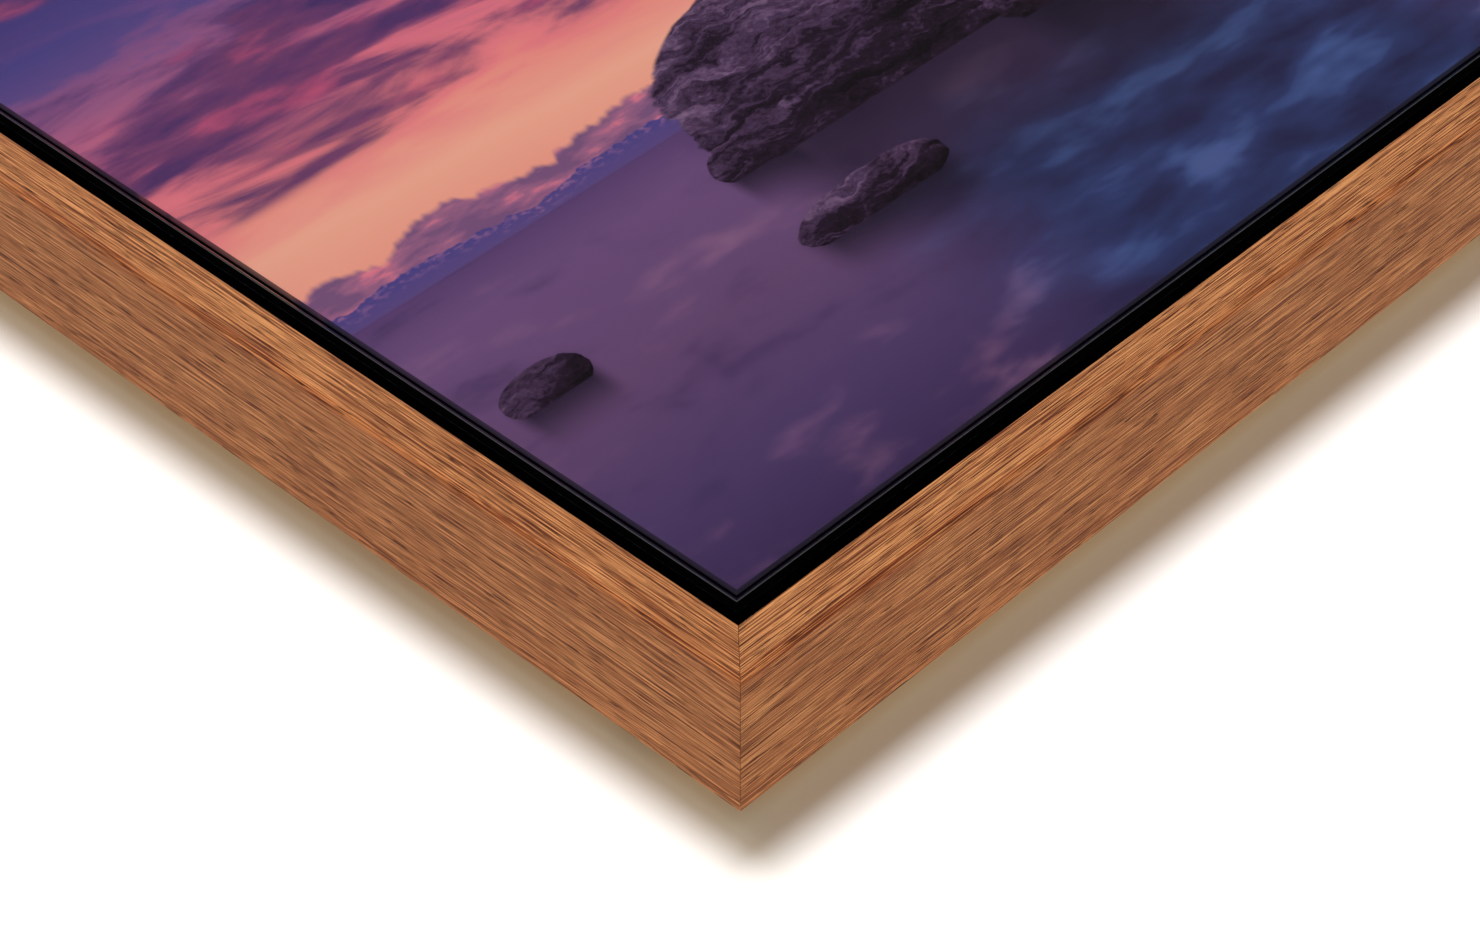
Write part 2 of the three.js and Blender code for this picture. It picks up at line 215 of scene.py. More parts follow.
def new_material(name):
    """An empty material, a wire to start its formulas from, and the place on the object in mm."""
    material = bpy.data.materials.new(name)
    material.use_nodes = True
    material.node_tree.nodes.clear()
    start = Wire(material.node_tree)
    place = start.node("ShaderNodeTexCoord", out=3)
    scaled = start.node("ShaderNodeVectorMath", {"operation": "SCALE"}, {0: place, "Scale": 1 / MM})
    return material, start, scaled


def surface(start, height=None, relief=0.0, **sockets):
    """A Principled surface, with a bump from a height in mm if one is given. Returns its shader."""
    titles = {name: name.replace("_", " ").title().replace("Ior", "IOR") for name in sockets}
    named = {titles[name]: value for name, value in sockets.items()}
    if height is not None:
        bump = {"Height": height, "Distance": MM, "Strength": relief}
        named["Normal"] = start.node("ShaderNodeBump", {}, bump)
    return start.node("ShaderNodeBsdfPrincipled", {}, named)


def finish_with(start, shader):
    start.node("ShaderNodeOutputMaterial", {}, {"Surface": shader})


# %% [markdown]
# ## Stained wood
# The rails are a straight-grained, open-pored hardwood with a warm brown stain. Close to, such
# wood is thousands of fine fibres that run along the rail, some light and some dark, with short
# dark pores between them. Each is noise that is stretched along the rail: nearly a straight line,
# but never quite one. The front face was cut across more of the growth rings than the side, so
# its stripes show more.

# %% The wood of the rails
STAIN_LIGHT = tint(240, 163, 100)
STAIN_MID = tint(184, 109, 61)
STAIN_DARK = tint(117, 56, 29)
STAIN_PORE = tint(58, 24, 16)
STAIN_RED = tint(246, 212, 194)

# Length along the grain and width across it, in mm.
FIBRES = (40, 0.22)
FINE_FIBRES = (18, 0.14)
THREADS = (30, 0.17)
PORES = (6, 0.15)
BANDS_OF_PORES = (60, 0.8)


def stretched(start, along, across, deep, size, seed):
    """A vector whose noise has features of this (length, width) along and across the grain."""
    length, width = size
    return start.vector(along * (1 / length) + seed, across * (1 / width), deep * (1 / width))


def stained_wood(name, upright, seed):
    material, start, place = new_material(name)
    x, y, z = place.parts()
    along, across = (z, x) if upright else (x, z)
    half = (outer_high.x if upright else outer_high.z) / MM
    edge = (across + half).least(half - across)
    depth = y - FRONT / MM
    wander = start.vector(along * 0.01 + seed, across * 0.1, y * 0.1).noise() * 0.6
    across = across + wander
    deep = y + wander

    def grain(size, offset, detail=0.0):
        return stretched(start, along, across, deep, size, seed + offset).noise(detail)

    face = depth.rise(1.6, 0.3)  # 1 on the front face, 0 on the sides
    fibre = grain(FIBRES, 3.1, 1.0)
    fine = grain(FINE_FIBRES, 5.7)
    tone = (fibre - 0.5) * (1.1 + face * 1.5) + (fine - 0.5) * (3.0 + face * 1.0)
    shade = (tone + 0.48 + face * 0.02).ramp(
        [(0.0, STAIN_DARK), (0.40, STAIN_MID), (0.60, STAIN_MID), (1.0, STAIN_LIGHT)]
    )

    # The arris is sanded through to redder wood, and the sides turn a little darker and redder
    # towards the back edge.
    arris = edge.rise(2.2, 0.6) * depth.rise(3.0, 1.0)
    red = arris * 0.5 + depth.rise(24.0, 33.0) * 0.2
    shade = red.between(shade, STAIN_RED, "MULTIPLY")

    # Pale threads, and short dark pores that are crowded in some bands and rare in others.
    thread = grain(THREADS, 14.9).rise(0.63, 0.69)
    shade = (thread * (0.45 + face * 0.35)).between(shade, STAIN_LIGHT)
    crowd = grain(BANDS_OF_PORES, 9.2, 1.0)
    pores = grain(PORES, 11.4).rise(0.62, 0.67) * crowd.rise(0.15, 0.6) * 0.9
    shade = pores.between(shade, STAIN_PORE)

    height = fibre * 0.04 + fine * 0.02 - pores * 0.06
    roughness = 0.56 + pores * 0.25 - fibre * 0.1
    looks = {"base_color": shade, "roughness": roughness, "specular_ior_level": 0.12}
    finish_with(start, surface(start, height, 0.7, **looks))
    return material


# %% [markdown]
# ## Raw wood
# The backs of the rails and the strainer behind the picture are never seen on a wall, so they
# stay raw: a pale wood with broad soft growth rings, cut along the grain by a saw that left faint
# marks across it.

# %% Raw wood for the backs and the strainer
RAW_PALE = tint(214, 186, 144)
RAW_MID = tint(196, 160, 112)
RAW_DARK = tint(158, 118, 74)
RAW_RINGS = (120, 1.6)
RAW_FIBRES = (14, 0.35)


def raw_wood(name, upright, seed):
    material, start, place = new_material(name)
    x, y, z = place.parts()
    along, across = (z, x) if upright else (x, z)
    wander = start.vector(along * 0.012 + seed, across * 0.05, y * 0.05).noise() * 7.0
    across = across + wander

    rings = stretched(start, along, across, y, RAW_RINGS, seed).noise()
    fibre = stretched(start, along, across, y, RAW_FIBRES, seed + 4.3).noise()
    tone = rings * 0.7 + fibre * 0.4 - 0.05
    shade = tone.ramp([(0.3, RAW_DARK), (0.5, RAW_MID), (0.7, RAW_PALE)])
    saw = start.vector(along * 0.9, across * 0.03, y * 0.03).noise(1.0)
    height = fibre * 0.05 + saw * 0.04
    looks = {"base_color": shade, "roughness": 0.72, "specular_ior_level": 0.25}
    finish_with(start, surface(start, height, 0.8, **looks))
    return material


# %% [markdown]
# ## Black inside
# The rails are painted matt black wherever the gap shows them, so that the gap swallows light and
# the print seems to hang in nothing.

# %% Matt black paint
PAINT_BLACK = tint(11, 11, 12)


def black_paint():
    material, start, place = new_material("gap_black_paint")
    x, y, z = place.parts()
    brushed = start.vector(x * 0.9, y * 0.9, z * 0.9).noise(3.0)
    roughness = 0.62 + brushed * 0.2
    looks = {"base_color": PAINT_BLACK, "roughness": roughness, "specular_ior_level": 0.12}
    finish_with(start, surface(start, brushed, 0.15, **looks))
    return material


# %% [markdown]
# ## Surfaces from formulas
# A rail is an outline carried along a line, and a ring is a circle carried along a loop. Both are
# rows of points, worked out as whole arrays: row by row along the path, and point by point round
# the outline. One function skins such rows, and another rounds the corners of an outline.

# %% Outlines and skins


def rounded_outline(corners, radii, steps=8, margin=0.15 * MM):
    """A right-angled outline with each corner rounded: centre - r (cos a * ahead + sin a * behind).

    A point a margin before and after each arc keeps the flat faces' shading flat.
    """
    corners = np.array(corners)
    points = []
    for place, radius in enumerate(radii):
        corner = corners[place]
        behind = corners[place - 1] - corner
        ahead = corners[(place + 1) % len(corners)] - corner
        behind = behind / np.linalg.norm(behind)
        ahead = ahead / np.linalg.norm(ahead)
        angle = np.linspace(0, np.pi / 2, steps + 1)[:, None]
        centre = corner + radius * (ahead + behind)
        arc = centre - radius * (np.cos(angle) * ahead + np.sin(angle) * behind)
        reach = radius + margin
        points.append(np.vstack([corner + behind * reach, arc, corner + ahead * reach]))
    return np.vstack(points)


def skin(name, rows, looped=False):
    """A closed mesh over rows of points: each row closes on itself, and the ends are closed too."""
    count, around = rows.shape[:2]
    index = np.arange(count * around).reshape(count, around)
    following = np.roll(index, -1, axis=0) if looped else index[1:]
    current = index if looped else index[:-1]
    corners = [current, np.roll(current, -1, axis=1), np.roll(following, -1, axis=1), following]
    faces = np.stack(corners, axis=-1).reshape(-1, 4).tolist()
    if not looped:
        faces += [index[0][::-1].tolist(), index[-1].tolist()]
    mesh = bpy.data.meshes.new(name)
    mesh.from_pydata(rows.reshape(-1, 3).tolist(), [], faces)
    point_outwards(mesh)
    return mesh


def point_outwards(mesh):
    work = bmesh.new()
    work.from_mesh(mesh)
    bmesh.ops.recalc_face_normals(work, faces=work.faces)
    work.to_mesh(mesh)
    work.free()


def smooth_under(mesh, degrees):
    """Smooth shading, except across edges that turn by more than this."""
    mesh.shade_smooth()
    mesh.set_sharp_from_angle(angle=math.radians(degrees))


def new_piece(name, mesh, materials, body="frame", node=None):
    """Puts a mesh into the scene as a piece that rides on a body and replaces a CAD node."""
    piece = bpy.data.objects.new(name, mesh)
    bpy.context.scene.collection.objects.link(piece)
    mesh.materials.clear()
    for material in materials:
        mesh.materials.append(material)
    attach(piece, body)
    if node:
        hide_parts(node)
    return piece


def merged_copy(node):
    """A copy of a CAD node's mesh, with its loose triangles joined and its flat faces whole."""
    mesh = nodes[node].data.copy()
    work = bmesh.new()
    work.from_mesh(mesh)
    bmesh.ops.remove_doubles(work, verts=work.verts, dist=MERGE_DISTANCE)
    bmesh.ops.dissolve_limit(work, angle_limit=FLAT_ANGLE, verts=work.verts, edges=work.edges)
    work.to_mesh(mesh)
    work.free()
    mesh.materials.clear()
    return mesh


# %% [markdown]
# ## The four rails
# A rail is milled from one board: an upright that shows, and a ledge behind that carries the
# picture. Its ends are cut at 45 degrees. The cut is a hair open along its edge, because the saw
# and the sandpaper take the sharp corner off, and that gives the fine dark line at each mitre.
# The holes and slots for screws and nails are already in the CAD rail, so the dressed rail keeps
# only what lies inside the CAD rail.

# %% Make the rails
MITRE_EASE = 0.05 * MM  # how far the mitre's edges are sanded back
MITRE_EASE_LENGTH = 0.08 * MM
MITRE_CLEAR = 0.04 * MM
BACK_BAND = 0.1 * MM  # this near to a rail's back or to its ledge's inner face, the wood is raw
LEDGE_BAND = 0.3 * MM

STAINED, BLACK, RAW, DRILLED = range(4)


def rail_outline():
    """The L section as (distance in from the outer edge, depth) points."""
    front, back = FRONT + HAIR, BACK - HAIR
    ledge_front = BACK - LEDGE_THICK + HAIR
    outer, inner, reach = HAIR, RAIL_FACE - HAIR, LEDGE_REACH - HAIR
    corners = [
        (outer, back),
        (outer, front),
        (inner, front),
        (inner, ledge_front),
        (reach, ledge_front),
        (reach, back),
    ]
    radii = [ARRIS, OUTER_ARRIS, INNER_ARRIS, 2 * HAIR, ARRIS, ARRIS]
    return rounded_outline(corners, radii)


def inset(outline, distance):
    """The outline moved inwards: each point goes along its normal, square to the tangent."""
    tangent = np.roll(outline, -1, axis=0) - np.roll(outline, 1, axis=0)
    tangent = tangent / np.linalg.norm(tangent, axis=1, keepdims=True)
    normal = np.stack([-tangent[:, 1], tangent[:, 0]], axis=1)
    return outline + distance * normal


def rail_rows(length):
    """Rows of the rail along X: a point that lies z in from the edge stops z short of the end."""
    outline = rail_outline()
    eased = inset(outline, MITRE_EASE)
    rows = []
    for end in (-1, 1):
        for section, short in ((eased, MITRE_CLEAR), (outline, MITRE_CLEAR + MITRE_EASE_LENGTH)):
            across, depth = section[:, 0], section[:, 1]
            along = end * (length / 2 - across - short)
            rows.append(np.stack([along, depth, across], axis=1))
    rows[2:] = rows[:1:-1]
    return np.array(rows)


def placed(points, angle, x, z):
    """Points turned about the Y axis by an angle and moved to a side of the frame."""
    cos, sin = math.cos(angle), math.sin(angle)
    turn = np.array([[cos, 0, sin], [0, 1, 0], [-sin, 0, cos]])
    return points @ turn.T + np.array([x, 0, z])


def paint_rail(mesh, side_x, side_z):
    """Chooses each face's finish by where it lies: stain outside, paint in the gap, raw behind."""
    for face in mesh.polygons:
        if face.material_index == DRILLED:
            continue
        x, y, z = face.center
        edge = min(side_x - abs(x), side_z - abs(z))
        in_the_gap = FRONT + INNER_ARRIS < y < BACK - LEDGE_THICK + 2 * HAIR
        if edge > RAIL_FACE - 2 * HAIR and in_the_gap:
            face.material_index = BLACK
        elif y > BACK - BACK_BAND or edge > LEDGE_REACH - LEDGE_BAND:
            face.material_index = RAW
        else:
            face.material_index = STAINED


def keep_inside(piece, solid_mesh):
    """Cuts a piece to what lies inside a solid, and marks the faces that the solid gave it."""
    for face in solid_mesh.polygons:
        face.material_index = DRILLED
    solid = bpy.data.objects.new("cutter", solid_mesh)
    bpy.context.scene.collection.objects.link(solid)
    cut = piece.modifiers.new("pockets", "BOOLEAN")
    cut.operation = "INTERSECT"
    cut.solver = "EXACT"
    cut.object = solid
    depsgraph = bpy.context.evaluated_depsgraph_get()
    result = bpy.data.meshes.new_from_object(piece.evaluated_get(depsgraph))
    piece.modifiers.clear()
    piece.data = result
    bpy.data.objects.remove(solid)


black = black_paint()
half_x, half_z = outer_high.x, outer_high.z
SIDES = {
    "bottom": (2 * half_x, 0, 0, -half_z),
    "right": (2 * half_z, -math.pi / 2, half_x, 0),
    "top": (2 * half_x, math.pi, 0, half_z),
    "left": (2 * half_z, math.pi / 2, -half_x, 0),
}
for seed, (side, (length, angle, x, z)) in enumerate(SIDES.items()):
    upright = side in ("left", "right")
    mesh = skin(f"{side}_rail_dressed", placed(rail_rows(length), angle, x, z))
    stain = stained_wood(f"stained_wood_{side}", upright, 17.3 * seed + 2.1)
    raw = raw_wood(f"raw_back_{side}", upright, 7.7 * seed)
    finishes = [stain, black, raw, raw]
    piece = new_piece(f"{side}_rail_dressed", mesh, finishes, node=f"rail_{side}")
    keep_inside(piece, merged_copy(f"rail_{side}"))
    paint_rail(piece.data, half_x, half_z)
    smooth_under(piece.data, 30)
    print(side, "rail:", len(piece.data.polygons), "faces")

# %% [markdown]
# ## The picture
# The print is a quiet sea at dusk, of this script's own making: a sky from peach to violet with
# drifting clouds, far hills, still water and dark rocks. Painted as a formula of the place on the
# paper, it stays sharp at any distance. Each layer covers the ones before it, from the sky
# forwards, as a painter works.

# %% The sky
print_low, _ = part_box("print_film")
HORIZON = 104.0  # in mm above the print's lower edge, as all of the picture's sizes are


def sky(start, across, up):
    slow = start.vector(across / 95, up / 60).noise(2.0)
    height = up + (slow - 0.5) * 22 + across * 0.02
    clear = (height / 300).ramp(
        [
            (0.35, tint(240, 146, 128)),
            (0.44, tint(248, 172, 146)),
            (0.50, tint(242, 138, 130)),
            (0.58, tint(204, 100, 132)),
            (0.66, tint(112, 80, 136)),
            (0.74, tint(78, 66, 130)),
            (0.86, tint(62, 48, 108)),
            (1.00, tint(52, 38, 92)),
        ]
    )

    # Long streaks of cloud, lit pink from below where they are thin.
    sheared = start.vector((across - up * 0.8) / 62, (up + across * 0.10) / 15)
    where = up.rise(142.0, 158.0) * up.rise(214.0, 196.0) + up.rise(226.0, 246.0) * 0.55
    bank = sheared.noise(5.0, 0.52, 0.35) + where * 0.16
    thick = bank.rise(0.50, 0.72) * where.rise(0.0, 0.35)
    light = start.vector(across / 30, up / 10, 4.0).noise(4.0)
    cloud = light.ramp(
        [(0.36, tint(70, 46, 100)), (0.54, tint(112, 60, 104)), (0.70, tint(186, 80, 116))]
    )
    colour = (thick * 0.95).between(clear, cloud)

    rim = bank.rise(0.44, 0.54) * bank.rise(0.66, 0.54)
    glow = rim * up.rise(236.0, 150.0) * up.rise(130.0, 150.0) * 0.6
    return glow.between(colour, tint(238, 120, 134))


def low_clouds(start, across, up, behind):
    """A bank of cloud that lies on the far hills, with a pink edge on top."""
    top = start.vector(across / 26, 3.0).noise(4.0, 0.6) * 26 + 106
    body = (top - up).rise(-0.6, 1.8)
    lumps = start.vector(across / 12, up / 4.5, 8.0).noise(4.0)
    colour = lumps.ramp(
        [(0.40, tint(98, 70, 122)), (0.58, tint(150, 92, 134)), (0.70, tint(222, 116, 142))]
    )
    return (body * 0.9).between(behind, colour)


def hills(start, across, up, behind):
    """Far hills: a ridge of two noises, blue with distance, with the last snow near the top."""
    ridge = start.vector(across / 34, 6.0).noise(5.0, 0.6) * 17 + HORIZON - 2.5
    body = (ridge - up).rise(-0.15, 0.35)
    snow = start.vector(across / 2.4, up / 1.6, 2.0).noise(3.0)
    near_top = (ridge - up).rise(4.5, 0.5)
    flanks = ((up - HORIZON) / 14).ramp([(0.0, tint(94, 72, 128)), (0.6, tint(72, 64, 134))])
    colour = (snow.rise(0.46, 0.66) * near_top * 0.35).between(flanks, tint(196, 128, 160))
    return body.between(behind, colour)


# %% [markdown]
# The sea is the sky's colours again, darker and smeared sideways. A long exposure leaves no
# waves, only soft streaks near the horizon that widen towards the shore.

# %% The sea


def sea(start, across, up, behind):
    down = HORIZON - up
    spread = down.most(1.0) ** 0.5
    streak = start.vector(across / 46, down / 2.2 / spread, 3.0).noise(4.0, 0.55)
    patch = start.vector(across / 34, down / 13, 5.0).noise(3.0, 0.5, 0.2)
    base = (down / HORIZON).ramp(
        [
            (0.00, tint(92, 64, 112)),
            (0.12, tint(112, 78, 124)),
            (0.45, tint(104, 72, 112)),
            (0.75, tint(82, 60, 104)),
            (1.00, tint(62, 44, 84)),
        ]
    )
    ripple = (streak - 0.5) * 0.9 + (patch - 0.5) * 1.1
    base = ripple.rise(0.05, 0.55).between(base, tint(156, 108, 142))
    base = (ripple.rise(-0.05, -0.5) * 0.85).between(base, tint(50, 38, 78))

    # Deeper, bluer water lies in front of the rocks.
    pool = abs(across - 178.0).rise(96.0, 42.0) * up.rise(88.0, 44.0)
    blue = patch.ramp(
        [(0.34, tint(36, 38, 74)), (0.52, tint(46, 58, 104)), (0.66, tint(68, 90, 145))]
    )
    base = (pool * 0.92).between(base, blue)
    return (up - HORIZON).rise(0.12, -0.12).between(behind, base)


# %% [markdown]
# Rocks are ellipses with a rough outline. Their light comes from above, so a rock is mauve on top
# and nearly black where it meets the water, with cracks that follow its layers. The water under
# each rock is dark, because it mirrors the rock.

# %% The rocks


def mirrored_shade(across, up, centre, size, behind):
    """The dark reflection below a rock, soft at its sides and fading downwards."""
    sideways = abs(across - centre[0]).rise(size[0] * 1.12, size[0] * 0.7)
    below = up.rise(centre[1] - size[1] * 2.6, centre[1] - size[1] * 0.4)
    above = up.rise(centre[1] + size[1] * 0.2, centre[1] - size[1] * 0.3)
    return (sideways * below * above * 0.9).between(behind, tint(26, 18, 36))


def rock(start, across, up, centre, size, seed, behind):
    rough = start.vector(across / 13, up / 9, seed).noise(4.0, 0.55) - 0.5
    tilted = up - (across - centre[0]) * 0.06
    far = ((across - centre[0]) / size[0] + rough * 0.34) ** 2.0
    high = abs((tilted - centre[1]) / size[1] + rough * 0.30) ** 2.4
    water = (up - (centre[1] - size[1] * 0.62)).rise(-0.3, 0.3)
    body = (far + high).rise(1.03, 0.97) * water
    layers = start.vector(across / 26, tilted / 3.4 + rough * 5.0, seed + 3).noise(5.0, 0.6)
    grit = start.vector(across / 1.7, up / 1.3, seed + 7).noise(3.0)
    lit = (tilted - centre[1]) / size[1] * 0.30 + (layers - 0.5) * 1.6 + (grit - 0.5) * 0.4
    lit = lit - ((across - centre[0]) / size[0]) * 0.12 + 0.42
    colour = lit.ramp(
        [
            (0.12, tint(14, 5, 12)),
            (0.42, tint(38, 21, 40)),
            (0.66, tint(78, 54, 84)),
            (1.00, tint(138, 106, 138)),
        ]
    )
    return body.between(behind, colour)


ROCKS = [  # centre and half size, in mm from the print's lower left corner
    ((96.0, 88.0), (10.0, 7.0)),
    ((152.0, 104.0), (60.0, 34.0)),
    ((205.0, 92.0), (36.0, 22.0)),
    ((104.0, 61.0), (22.0, 7.5)),
    ((17.0, 66.0), (11.0, 6.5)),
    ((352.0, 96.0), (34.0, 15.0)),
    ((402.0, 84.0), (12.0, 6.0)),
    ((290.0, 42.0), (19.0, 7.0)),
]


def seascape(start, place):
    x, _, z = place.parts()
    across = x - print_low.x / MM
    up = z - print_low.z / MM
    colour = sky(start, across, up)
    colour = low_clouds(start, across, up, colour)
    colour = hills(start, across, up, colour)
    colour = sea(start, across, up, colour)
    for centre, size in ROCKS:
        colour = mirrored_shade(across, up, centre, size, colour)
    for seed, (centre, size) in enumerate(ROCKS):
        colour = rock(start, across, up, centre, size, 11.0 + seed * 5.3, colour)
    return colour


def printed_picture():
    material, start, place = new_material("dusk_sea_print")
    coat = {"coat_weight": 0.12, "coat_roughness": 0.25}
    looks = {"base_color": seascape(start, place), "roughness": 0.45, "specular_ior_level": 0.0}
    finish_with(start, surface(start, **looks, **coat))
    return material


# %% [markdown]
# ## Acrylic and its edge
# The print is glued behind a clear acrylic sheet. From the front the sheet is almost invisible.
# Its cut edge is not: in a real sheet, it gathers the picture's colours in its front half and is
# dark in its rear half, where it only shows the black gap. The faces are clear, and their index is
# set close to 1, so light goes nearly straight through them. At real acrylic's index, 1.49, the
# sheet mirrors the lamps and puts bright specks on the print. So the edge's light is painted: it is
# a finish of its own that reads the same formula as the picture, a painted refraction of the
# picture in its front half and painted shade in its rear half.

# %% Clear acrylic, and its polished edge
glazing_low, glazing_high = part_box("glazing_sheet")
CLEAR_INDEX = 1.02  # of the sheet's faces, where air is 1


def clear_acrylic():
    material, start, _ = new_material("clear_acrylic")
    clear = {"base_color": (1, 1, 1, 1), "transmission_weight": 1.0, "ior": CLEAR_INDEX}
    finish_with(start, surface(start, roughness=0.0, specular_ior_level=0.5, **clear))
    return material


def acrylic_edge():
    material, start, place = new_material("acrylic_edge")
    _, y, _ = place.parts()
    depth = (y - glazing_low.y / MM) / ((glazing_high.y - glazing_low.y) / MM)
    # Painted refraction: the picture's colours, greyed and darker towards the back, then painted
    # shade where the edge would show the black gap.
    picture = seascape(start, place)
    painted_refraction = (depth * 0.2 + 0.45).between(picture, tint(104, 96, 116))
    painted_refraction = (depth * 0.6).between(painted_refraction, tint(34, 30, 44))
    shade = depth.rise(0.52, 0.66).between(painted_refraction, tint(12, 10, 14))
    finish_with(start, surface(start, base_color=shade, roughness=0.25, specular_ior_level=0.4))
    return material


# %% [markdown]
# ## Rounding the CAD's edges
# Nothing real has a perfectly sharp edge, and an edge that is a little round catches a line of
# light. A Bevel modifier does that to a copy of a CAD part, so that its size and its place stay
# the CAD's.

# %% A copy of a CAD part with eased edges
EASED_ANGLE = 32  # degrees: an edge that turns by more is rounded


def eased(node, width, materials):
    mesh = merged_copy(node)
    smooth_under(mesh, EASED_ANGLE)
    piece = new_piece(f"{node}_eased", mesh, materials, node=node)
    ease = piece.modifiers.new("ease", "BEVEL")
    ease.width = width
    ease.segments = 2
    ease.limit_method = "ANGLE"
    ease.angle_limit = math.radians(EASED_ANGLE)
    ease.harden_normals = True
    return piece


# %% [markdown]
# ## The bonded picture
# The print and the sheet in front of it are one laminate. Each has one finish on its two faces
# and another on its cut edges. Lamps and reflections look straight past the sheet, so it throws
# no glare on the print.

# %% Dress the bonded picture


def dress_faces_and_edges(mesh, on_faces, on_edges):
    """Gives a flat sheet one finish on its front and back, and another on its cut edges."""
    mesh.materials.clear()
    mesh.materials.append(on_faces)
    mesh.materials.append(on_edges)
    for face in mesh.polygons:
        face.material_index = int(abs(face.normal.y) < 0.5)


dress_faces_and_edges(nodes["print_film"].data, printed_picture(), black)
sheet = eased("glazing_sheet", 0.06 * MM, [])
dress_faces_and_edges(sheet.data, clear_acrylic(), acrylic_edge())
sheet.visible_diffuse = False
sheet.visible_glossy = False
sheet.visible_shadow = False
print("the sheet is", round((glazing_high.y - glazing_low.y) / MM, 2), "mm thick")

# %% [markdown]
# ## Metal, plastic, rubber and tape
# The rest are workshop finishes. Zinc plating is a soft grey metal with a faint cloudiness. Sheet
# aluminium shows the lines of the rollers. The composite panel's core is black polyethylene, the
# tape is white foam, and the bumpers are soft dark rubber.

# %% Workshop finishes


def zinc(name, shade, seed):
    material, start, place = new_material(name)
    x, y, z = place.parts()
    cloud = start.vector(x / 2.6 + seed, y / 2.6, z / 2.6).noise(4.0, 0.6)
    speck = start.vector(x / 0.35, y / 0.35, z / 0.35 + seed).noise(2.0)
    colour = cloud.between(tint(*(0.82 * v for v in shade)), tint(*shade))
    roughness = 0.26 + cloud * 0.16 + speck * 0.08
    looks = {"base_color": colour, "metallic": 1.0, "roughness": roughness}
    finish_with(start, surface(start, speck, 0.03, **looks))
    return material


def rolled_aluminium():
    material, start, place = new_material("rolled_aluminium")
    x, y, z = place.parts()
    lines = start.vector(x / 90, y, z / 0.5).noise(3.0)
    smudge = start.vector(x / 60, y, z / 45).noise(3.0)
    colour = lines.between(tint(176, 179, 184), tint(208, 210, 214))
    roughness = 0.34 + lines * 0.12 + smudge * 0.12
    looks = {"base_color": colour, "metallic": 1.0, "roughness": roughness}
    finish_with(start, surface(start, lines, 0.02, **looks))
    return material


def grained(name, low, high, size, roughness, relief, shine=0.3):
    """A dull plastic, foam or rubber: two close colours, and a fine grain of this size in mm."""
    material, start, place = new_material(name)
    x, y, z = place.parts()
    grain = start.vector(x / size, y / size, z / size).noise(3.0)
    colour = grain.between(tint(*low), tint(*high))
    rough = roughness + grain * 0.1
    looks = {"base_color": colour, "roughness": rough, "specular_ior_level": shine}
    finish_with(start, surface(start, grain, relief, **looks))
    return material


zinc_plate = zinc("zinc_plate", (204, 205, 206), 0.0)
screw_zinc = zinc("screw_zinc", (208, 198, 172), 4.0)
bright_steel = zinc("bright_steel", (168, 170, 174), 9.0)
aluminium = rolled_aluminium()
cut_aluminium = grained("cut_aluminium", (150, 148, 148), (184, 182, 182), 0.3, 0.55, 0.1)
core_plastic_and_painted_shade = grained("core_plastic_and_painted_shade", (6, 6, 6), (10, 10, 11), 0.5, 0.7, 0.1, shine=0.04)
foam_tape = grained("foam_tape", (206, 204, 196), (230, 229, 222), 0.6, 0.75, 0.3)
bumper_rubber = grained("bumper_rubber", (30, 30, 32), (46, 46, 48), 0.4, 0.7, 0.2)

# %% [markdown]
# ## The back
# Each kind of part has one finish and one width of rounding. A strainer's batten gets two
# finishes: raw wood, and black paint on the side that faces the gap. The composite panel's skins
# are aluminium, and only the front skin shows its bare cut edge. The back skin's cut edge, deep in
# the gap, gets the black core's finish as painted shade.

# %% Dress the back
BATTEN_SEEDS = {
    "strainer_bottom": 31.0,
    "strainer_top": 43.0,
    "strainer_left": 57.0,
    "strainer_right": 71.0,
}
BATTEN_ROUNDING = 0.6 * MM
GAP_SIDE = 60 * MM  # a face that looks outwards, further than this from the centre, is painted
EASED = {  # the start of a node's name, how far its edges are rounded, and its finish
    "ledge_screw_": (0.12 * MM, screw_zinc),
    "hanger_screw_": (0.12 * MM, screw_zinc),
    "hanger_strap_": (0.16 * MM, zinc_plate),
    "v_nail_": (0.08 * MM, bright_steel),
    "corrugated_nail_": (0.08 * MM, bright_steel),
    "bumper_": (0.5 * MM, bumper_rubber),
    "bond_tape_": (0.1 * MM, foam_tape),
}


def dress_batten(node, seed):
    """Raw wood all round, except for black paint on the side that faces the gap."""
    side = node.split("_")[1]
    raw = raw_wood(f"strainer_wood_{side}", side in ("left", "right"), seed)
    batten = eased(node, BATTEN_ROUNDING, [raw, black])
    for face in batten.data.polygons:
        outward = Vector((face.center.x, 0, face.center.z)).dot(face.normal)
        face.material_index = int(outward > GAP_SIDE)


for node in sorted(nodes):
    if node in BATTEN_SEEDS:
        dress_batten(node, BATTEN_SEEDS[node])
    for start_of_name, (width, material) in EASED.items():
        if node.startswith(start_of_name):
            eased(node, width, [material])
dress_faces_and_edges(nodes["panel_front_skin"].data, aluminium, cut_aluminium)
# The back skin's cut edge is painted black with the core's finish: painted shade.
dress_faces_and_edges(nodes["panel_back_skin"].data, aluminium, core_plastic_and_painted_shade)
core = nodes["panel_core"].data.materials
core.clear()
core.append(core_plastic_and_painted_shade)

# %% [markdown]
# ## The D rings
# Each ring is bent from round wire. Its straight side turns in the strap's rolled end. A circle
# carried along the ring's centre line gives it: at each point of the line, the circle lies across
# the line's direction.

# %% Make the D rings
WIRE = 1.1 * MM
RING_HALF_WIDTH = 10.2 * MM
RING_HEIGHT = 17 * MM
RING_CORNER = 2.5 * MM
RING_LEAN = math.radians(3.5)


def arc(x, z, radius, start, end, steps):
    """Points of an arc about (x, z): centre + radius (cos a, sin a)."""
    angle = np.radians(np.linspace(start, end, steps))
    return np.stack([x + radius * np.cos(angle), z + radius * np.sin(angle)], axis=1)


